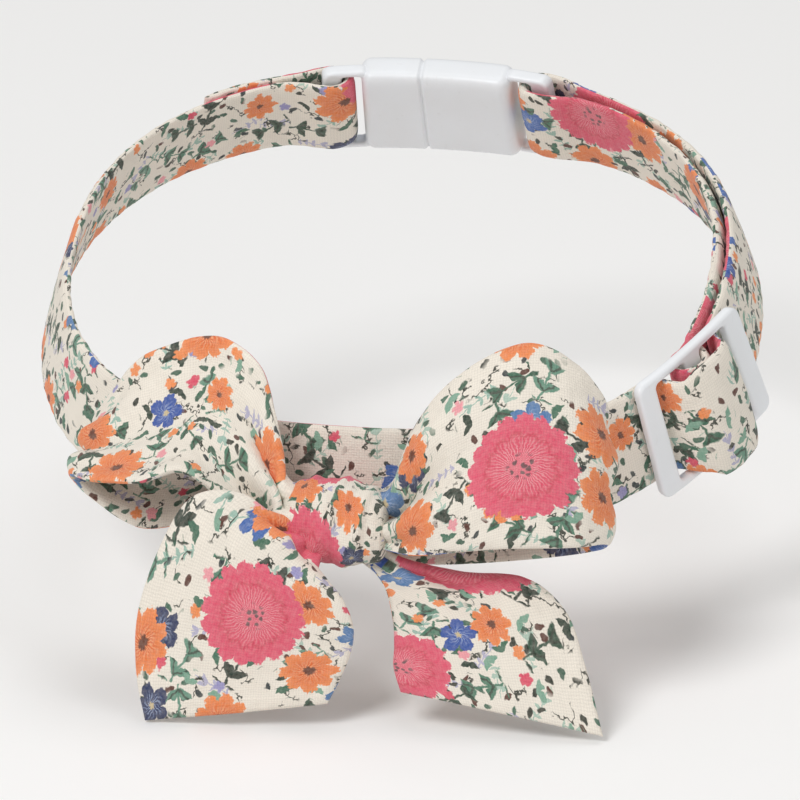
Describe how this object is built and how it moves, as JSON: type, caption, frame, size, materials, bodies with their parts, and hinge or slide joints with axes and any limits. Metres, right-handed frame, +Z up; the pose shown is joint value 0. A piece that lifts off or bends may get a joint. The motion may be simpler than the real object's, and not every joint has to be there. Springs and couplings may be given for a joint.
{
  "type": "dog collar with a bow",
  "caption": "Small dog's fabric collar in a floral print, with a tied ribbon bow, a tri-glide slider and a plain closed buckle.",
  "frame": {"origin": "middle of the neck opening, level with the strap's middle at the throat", "axes": "+Z up the neck towards the head, -Y towards the throat and the bow, +X towards the slider"},
  "size_m": [0.0871, 0.0997, 0.049],
  "materials": {
    "printed_cotton": "woven cotton, cream with a small floral print, matte",
    "white_plastic": "moulded white plastic, satin"
  },
  "bodies": {
    "root": {"neck_strap": "printed_cotton", "slider": "white_plastic", "buckle": "white_plastic", "knot": "printed_cotton", "bow_loop_left": "printed_cotton", "bow_loop_right": "printed_cotton", "tail_left": "printed_cotton", "tail_right": "printed_cotton"}
  },
  "joints": []
}
